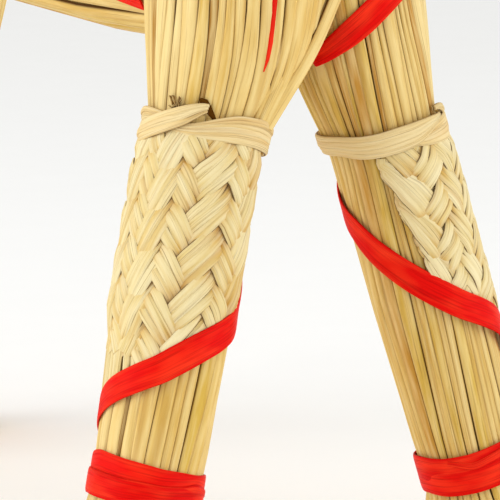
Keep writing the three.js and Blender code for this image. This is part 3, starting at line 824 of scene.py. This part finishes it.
# At the edge of a braid a strand folds back and goes under its neighbour.
def turned(leg, lines, tone, path):
    height, degrees, lift, girth, shade = path[0]
    if degrees < lineAt(lines[0], height) + 6:
        way = -1 if path[1][0] > height else 1
        # the folded part gets a darker tone, painted shade where it goes under its neighbour
        fold = [[height + way * step, degrees + turn, rise, girth, 0.3] for step, turn, rise in braidFold]
        foot = braidFoot[leg.name]
        path = [row for row in fold if read(foot, row[1]) < row[0] < leg.tie - 3] + path
    return tone, [(*leg.spot(height, degrees, lift), girth, 1.0, shade)
                  for height, degrees, lift, girth, shade in path]


# The strands run on down under the ribbon, where the braid ends.
def endsBelow(leg, dice):
    paths = []
    for degrees in span(braidEnds["from"], braidEnds["to"], braidEnds["steps"]):
        degrees += dice.uniform(-1.5, 1.5)
        lean = dice.uniform(-5, 5)
        path = []
        for share in span(0, 1, 7):
            height = lerp(braidEnds["top"], read(ribbonPaths[leg.name], degrees) + 0.5, share)
            spot = leg.spot(height, degrees + lean * share, lerp(1.2, 0.1, share))
            path.append((*spot, dice.uniform(0.26, 0.36), 0.9))
        paths.append((dice.uniform(0.2, 0.6), path))
    return paths


def makeBraid(leg):
    dice = random.Random(build["seed"] + 40 + len(leg.name))
    lines, foot, count = braids[leg.name], braidFoot[leg.name], braids["strips"]
    top = leg.tie - 1.0
    known = braidHeights(lines)
    last = len(lines) - 1
    tables = {way: [[i, h] for i, h in enumerate(known[way])] for way in (1, -1)}
    pitches = [[i, line[3]] for i, line in enumerate(lines)]

    def centre(way, x):
        return readSoft(tables[way], x, 0.32)

    def degreesAt(x, height):
        return read([[i, lineAt(line, height)] for i, line in enumerate(lines)], x)

    turn = (centre(1, 0) - centre(-1, 0)) / read(pitches, 0)
    paths = []
    for way, k in product((1, -1), range(-braids["strands"], braids["strands"] + 1)):
        width = braids["width"] * dice.uniform(0.94, 1.05)
        shade = clamp(dice.gauss(braids["tone"][leg.name], 0.16))
        loose = dice.uniform(-0.15, 0.2)
        for strip in range(count):
            shift = (strip - (count - 1) / 2) / count
            fan, own = dice.uniform(-0.4, 0.4), dice.uniform(-0.12, 0.12)
            path = []
            for i in range(last * braids["steps"] + 1):
                x = i / braids["steps"]
                pitch = read(pitches, x)
                height = centre(way, x) - k * pitch
                slope = (centre(way, x + 0.1) - centre(way, x - 0.1)) / 0.2
                reach = degreesAt(x + 0.5, height) - degreesAt(x - 0.5, height)
                run = math.radians(reach) * braids["radius"]
                length = math.hypot(run, slope)
                gather = clamp(min(x, last - x) / 0.7, 0.3, 1.0)
                offset = shift * width * gather + fan * math.sin(x * 3 + k)
                height += offset * run / length
                across = x - offset * slope / length / run
                degrees = degreesAt(across, height)
                other = (centre(-way, across) - height) / pitch
                # half a turn is spent on top of two strands and half a turn under two
                phase = turn + (other - k if way > 0 else k - other)
                swing = math.sin(math.pi / 2 * phase) * way
                wave = math.copysign(abs(swing) ** 0.6, swing)
                if height > top or height < read(foot, degrees) - 1 or not 0.12 < across < last - 0.12:
                    if len(path) > 3:
                        paths.append((shade + own, path))
                    path = []
                    continue
                lift = braids["rest"] + braids["wave"] * wave * (1 + loose) - abs(shift) * 0.5
                lift *= clamp((top - height) / 7.0, 0.15, 1.0)
                lift *= clamp((height - read(foot, degrees)) / 12.0, 0.25, 1.0)
                lift *= clamp(x / 0.9, 0.55, 1.0)
                girth = width / count * braids["overlap"] / braidCut["width"] * lerp(0.75, 1.0, gather)
                # the fifth value is painted shade: it darkens the strand where it passes the other set and
                # while it runs under it
                path.append([height, degrees, lift + 0.2, girth,
                             0.55 * clamp(1 - abs(swing)) ** 1.3 + (0.3 if swing < 0 else 0.0)])
            if len(path) > 3:
                paths.append((shade + own, path))
    paths = [turned(leg, lines, tone, path) for tone, path in paths]
    if leg.name == "right":
        paths += endsBelow(leg, dice)
    makeStrands(f"{leg.node}_plait", "braid", paths, braidCut, f"{leg.node}_braid")


for leg in (Leg(pair, name) for pair, name in product(("fore", "hind"), ("right", "left"))):
    makeLeg(leg)
    makeLegRibbons(leg)
    makeTie(leg)
    makeBraid(leg)

# Ribbon that shows in a gap between the straws of the right shoulder: [degrees, height, width].
shoulderGap = [[4.2, 158, 0.4], [5.2, 161, 1.2], [6.4, 166, 1.7], [7.6, 172, 1.9], [8.8, 179, 2.3],
               [10.0, 186, 2.5]]

for name in ("left", "right"):
    leg = Leg("fore", name)
    bands = [legBand(leg, shoulderPaths[name], 3.0, tucked=True)]
    if name == "right":
        shown = [(*leg.spot(height, degrees, -0.5), width / ribbonCut["width"], 1.0)
                 for degrees, height, width in shoulderGap]
        bands.append((0.2, eased(shown, 1)))
    makeStrands(f"shoulder_{name}_ribbon_wound", "ribbon", bands, ribbonCut, f"shoulder_ribbon_{name}")
print("legs dressed")

torso = {
    "height": 206.0, "count": 54, "inner": 46, "from": -70, "to": 146, "width": 5.0,
    "radius": [[-74, 36], [-50, 43], [0, 42], [36, 39], [72, 36], [120, 37], [150, 30]],
    "ribbon": [[-60, 93], [-20, 86.5], [20, 79.5], [60, 71.5], [95, 62.5], [125, 53], [150, 42], [170, 29.5],
               [184, 16.5], [196, 0], [206, -18], [213, -33], [218.6, -51]],
}


def bodyPoint(y, degrees, extra=0.0):
    radius = read(torso["radius"], y) + extra
    angle = math.radians(degrees)
    return Vector((math.cos(angle) * radius, y, torso["height"] + math.sin(angle) * radius))


def bodyFacing(degrees):
    return math.cos(math.radians(degrees)), 0, math.sin(math.radians(degrees))


def makeBody():
    dice = random.Random(build["seed"] + 70)
    paths = []
    for count, sunk in ((torso["count"], 0.0), (torso["inner"], 2.4)):
        for k in range(count):
            degrees = 360.0 * (k + dice.uniform(-0.12, 0.12)) / count
            deep = sunk + 1.8 + dice.uniform(-0.3, 0.4)
            phase = dice.uniform(0, 9)
            path = []
            for y in span(torso["from"], torso["to"], 30):
                angle = degrees + 2.5 * math.sin(y / 60 + phase)
                radius = read(torso["radius"], y)
                girth = clamp(2 * math.pi * radius / (count * torso["width"]) * 1.18, 0.7, 1.5)
                path.append((bodyPoint(y, angle, -deep), bodyFacing(angle), girth, 1.0))
            # the inner ring takes a dark tone, painted shade for the straws that show in the gaps
            paths.append((clamp(dice.gauss(0.42, 0.2)) if sunk < 1 else 0.85, path))
    makeStrands("body_straws", "straw", paths, {
        "width": torso["width"], "thickness": 3.6, "sides": 10, "hollow": 3.0, "spread": 0.1,
        "seed": 21}, "body")
    core = []
    for y in span(torso["from"] + 4, torso["to"] - 4, 20):
        size = read(torso["radius"], y) * 0.165
        core.append(((0, y, torso["height"]), (0, 0, 1), size, size))
    makeCore("body_heart", core, 24)
    wind = []
    rows = [[i, *row] for i, row in enumerate(torso["ribbon"])]
    for i, place in enumerate(span(0, len(rows) - 1, 120)):
        degrees, y = (readSoft(rows, place, 0.5, column) for column in (1, 2))
        lift = lerp(build["tuck"], 0.9, clamp(i / 4))  # its far end is tucked in between the straws
        wind.append((bodyPoint(y, degrees, lift), bodyFacing(degrees), 1.0, 1.0))
    makeStrands("body_ribbon_wound", "ribbon", [(0.5, wind)], dict(ribbonCut, bow=0.0), "body_ribbon")


makeBody()
print("body dressed")


# Straws round a bundle that follows a curve, in one or two layers.
def bundlePaths(curve, use, dice):
    paths = []
    rows, thick = use["rows"], use["thick"]
    for layer in range(use.get("layers", 2)):
        number = max(5, use["count"] - 6 * layer)
        for k in range(number):
            degrees = 360.0 * (k + 0.5 * layer + dice.uniform(-0.12, 0.12)) / number
            deep = thick * (0.5 + 0.8 * layer) + dice.uniform(-0.2, 0.3)
            phase = dice.uniform(0, 9)
            end = 1.0 - dice.uniform(0, 0.02)
            path = []
            for t in span(0.0, end, use.get("steps", 16)):
                angle = degrees + 3 * math.sin(t * 4 + phase)
                size = (read(rows, t, 1) + read(rows, t, 2)) / 2
                girth = clamp(2 * math.pi * (size - deep) / (number * use["width"]) * 1.2, 0.5, 1.6)
                path.append((curve.shell(rows, t, angle, -deep), curve.out(rows, t, angle), girth, 1.0))
            # the second layer takes a dark tone, painted shade for the straws that show in the gaps
            paths.append((clamp(dice.gauss(0.42, 0.2)) if layer == 0 else 0.88, path))
    return paths


# Straws that fill an open end of a bundle, ring inside ring.
def endStraws(curve, use, dice, start, stop):
    paths = []
    rows, width = use["rows"], use["width"]
    size = (read(rows, stop, 1) + read(rows, stop, 2)) / 2
    ring = use["thick"] * 1.9
    while ring < size - width * 0.3:
        share = 1 - ring / size
        number = max(1, int(2 * math.pi * (size - ring) / (width * 0.92)))
        for k in range(number):
            degrees = 360.0 * (k + dice.uniform(-0.15, 0.15)) / number + ring * 40
            sunk = dice.uniform(0.0, 0.006) * (1 if stop > start else -1)
            path = [(curve.shell(rows, t - sunk, degrees, 0.0, share), curve.out(rows, t, degrees),
                     0.95, 1.25) for t in span(start, stop, 5)]
            paths.append((clamp(dice.gauss(0.5, 0.2)), path))
        ring += width * 0.86
    return paths


def heartPath(curve, rows, start):
    return [(curve.at(t), curve.frame(t)[2], read(rows, t, 1) * 0.144, read(rows, t, 2) * 0.144)
            for t in span(start, 0.9, 14)]  # girth 1 is 10 mm, so this fills 72% of the bundle


# A turn of ribbon round a bundle, tilted a little, whose ends overlap.
def ringPath(curve, rows, t, lift, tilt, start):
    path = []
    for i in range(61):
        degrees = start + 360.0 * 1.04 * i / 60
        place = t + tilt * math.sin(math.radians(degrees + start))
        path.append((curve.shell(rows, place, degrees, lift), curve.out(rows, place, degrees), 1.0, 1.0))
    return 0.5, path


neckFoot = 250.4
neckY = legs["fore"]["y"] + legs["fore"]["lean"] * 250
tailY = legs["hind"]["y"] + legs["hind"]["lean"] * 250
# rows: [place along the curve, half the width, half the height]; binding: name, place, reach, width
bundles = {
    "neck": {
        "points": [(0, neckY, neckFoot - 3), (0, neckY, neckFoot + 12), (0, neckY - 8, 292),
                   (0, neckY - 30, 345)],
        "rows": [[0, 36, 21.5], [0.09, 34, 21.5], [0.23, 31, 22], [0.6, 26, 23], [1, 25, 23]],
        "count": 34, "width": 5.0, "thick": 3.6, "seed": 31, "binding": ("neck_binding", 0.16, 0.14, 8.4)},
    "head": {
        "points": [(0, -80, 362), (0, -108, 356), (0, -140, 338), (0, -176, 312)],
        "rows": [[0, 19, 17], [0.12, 24, 23], [0.35, 26, 25], [0.65, 21, 20], [0.86, 18, 16],
                 [1, 19.5, 17]],
        "count": 30, "width": 4.6, "thick": 3.4, "seed": 32, "heart": 0.14,
        "ends": ((0.16, 0.0), (0.88, 1.0)), "binding": ("muzzle_binding", 0.86, 0.09, 6.5)},
    "beard": {
        "points": [(0, -131, 326), (0, -132, 302), (0, -129, 268)],
        "rows": [[0, 9, 8], [0.35, 6.5, 6.5], [0.65, 9, 8], [1, 14, 10]],
        "count": 14, "width": 3.4, "thick": 2.6, "seed": 33, "ends": ((0.8, 1.0),),
        "binding": ("beard_binding", 0.35, 0.12, 5.0)},
    "tail": {
        "points": [(0, tailY, neckFoot - 3), (0, tailY, 262), (0, tailY + 12, 286), (0, tailY + 42, 322)],
        "rows": [[0, 24, 14.5], [0.1, 20.5, 14], [0.24, 16.5, 14], [0.7, 17, 17], [1, 20, 20]],
        "count": 26, "width": 4.4, "thick": 3.4, "seed": 34, "ends": ((0.86, 1.0),),
        "binding": ("tail_binding", 0.17, 0.13, 6.5)},
}
ear = {"points": [(18, -92, 362), (34, -88, 364), (58, -80, 356)],
       "rows": [[0, 5, 3], [0.25, 7.5, 3.5], [0.6, 9, 3.5], [1, 2.5, 2]],
       "count": 14, "width": 2.6, "thick": 1.8, "layers": 1, "heart": None, "steps": 12}
horn = {"points": [(13, -98, 366), (19, -90, 400), (28, -58, 432), (36, -10, 440), (42, 34, 420),
                   (45, 58, 392)],
        "count": 3, "turns": 4.5, "swing": 4.6, "dip": 2.6}
hornCut = {"width": 3.6, "thickness": 3.8, "sides": 8, "corner": 0.9, "hollow": 1.5, "spread": 0.08,
           "seed": 14}


def makeBundle(node, curve, use):
    dice = random.Random(build["seed"] + use["seed"])
    paths = bundlePaths(curve, use, dice)
    for start, stop in use.get("ends", ()):
        paths += endStraws(curve, use, dice, start, stop)
    makeStrands(f"{node}_straws", "straw", paths, {
        "width": use["width"], "thickness": use["thick"], "sides": 10, "hollow": 2.5, "spread": 0.1,
        "seed": use["seed"]}, node)
    heart = use.get("heart", 0.03)  # where its core starts
    if heart is not None:
        makeCore(f"{node}_heart", heartPath(curve, use["rows"], heart), 18)


def makeBinding(node, curve, rows, t, reach, width):
    paths = [ringPath(curve, rows, t - reach * 0.28, 0.8, reach * 0.12, 200),
             ringPath(curve, rows, t + reach * 0.26, 1.3, -reach * 0.1, 20)]
    makeStrands(f"{node}_turns", "ribbon", paths, dict(ribbonCut, bow=0.0, width=width, seed=2), node)


for node, use in bundles.items():
    curve = Curve(use["points"])
    makeBundle(node, curve, use)
    name, *place = use["binding"]
    makeBinding(name, curve, use["rows"], *place)


def mirrored(points, side):
    return [(side * x, y, z) for x, y, z in points]


def makeHorn(name):
    side = sideOf(name)
    curve = Curve(mirrored(horn["points"], side))
    paths = []
    for k, split in product(range(horn["count"]), (-1, 0, 1)):
        path = []
        for t in span(0, 1, 110):
            taper = lerp(1.0, 0.66, t)
            phase = 2 * math.pi * (horn["turns"] * t + k / horn["count"])
            loose = clamp((1 - t) / 0.1) * clamp(t / 0.04 + 0.4)
            ahead, across, up = curve.frame(t)
            spot = (curve.at(t) + across * math.sin(phase) * horn["swing"] * taper * loose
                    + up * math.sin(2 * phase) * horn["dip"] * taper * loose)
            turn = across * math.cos(phase) * -0.5 + up
            spot += (across * split * 2.0 * taper * abs(math.cos(phase))
                     + ahead * split * 1.8 * taper * math.sin(phase))
            path.append((spot, turn, taper * lerp(0.75, 1.0, loose), taper))
        paths.append((0.25 + 0.15 * (k + split), path))
    makeStrands(f"horn_{name}_plait", "braid", paths, hornCut, f"horn_{name}")
    makeBinding(f"horn_{name}_binding", curve, [[0, 10, 10], [1, 6.5, 6.5]], 0.94, 0.04, 5.0)
    makeBundle(f"ear_{name}", Curve(mirrored(ear["points"], side), (0, 1, 0)), dict(ear, seed=35 + side))


for name in ("right", "left"):
    makeHorn(name)
print("head dressed")

studio = {"azimuth": -36.0, "elevation": 8.0, "distance": 1.3, "target": (-0.0189, -0.10227, 0.1033),
          "lens": 302.4, "floor": 12.0, "sky": 0.84, "lampSize": 1.5,
          "lamps": {"left": [(-1.62, 0.38, 0.75), 16.0], "right": [(0.95, -1.35, 0.6), 11.0]}}


def makeFloor():
    size = studio["floor"]
    mesh = bpy.data.meshes.new("floor")
    corners = [(-size, -size, 0), (size, -size, 0), (size, size, 0), (-size, size, 0)]
    mesh.from_pydata(corners, [], [(0, 1, 2, 3)])
    floor = addObject("floor", mesh)
    material, b = newMaterial("paleFloor")
    grain = b.add("ShaderNodeTexNoise", {}, {"Vector": b.add("ShaderNodeTexCoord", {}, {}, "Object"),
                                             "Scale": 30.0})
    colour = b.mix((0.98, 0.98, 0.97, 1), (0.96, 0.96, 0.95, 1), grain)
    surfaceFrom(b, {"Base Color": colour, "Roughness": 0.8})
    mesh.materials.append(material)


def makeLamp(name, place, power):
    lamp = bpy.data.lights.new(name, "AREA")
    lamp.shape, lamp.size, lamp.energy = "SQUARE", studio["lampSize"], power
    holder = addObject(name, lamp)
    holder.location = place
    holder.rotation_euler = (Vector(place) - Vector(studio["target"])).to_track_quat("Z", "Y").to_euler()


def makeStudio():
    makeFloor()
    world = bpy.data.worlds.new("softRoom")
    world.use_nodes = True
    back = world.node_tree.nodes["Background"]
    back.inputs["Color"].default_value = (1, 1, 0.99, 1)
    back.inputs["Strength"].default_value = studio["sky"]
    bpy.context.scene.world = world
    bpy.context.scene.view_settings.view_transform = "Standard"
    for name, (place, power) in studio["lamps"].items():
        makeLamp(name, place, power)
    lens = bpy.data.cameras.new("camera")
    lens.sensor_width, lens.lens = 36.0, studio["lens"]
    lens.clip_start, lens.clip_end = 0.05, 60
    camera = addObject("camera", lens)
    turn, rise = math.radians(studio["azimuth"]), math.radians(studio["elevation"])
    ahead = Vector((-math.sin(turn) * math.cos(rise), math.cos(turn) * math.cos(rise), -math.sin(rise)))
    camera.location = Vector(studio["target"]) - ahead * studio["distance"]
    camera.rotation_euler = ahead.to_track_quat("-Z", "Y").to_euler()
    bpy.context.scene.camera = camera


makeStudio()
print("studio ready")
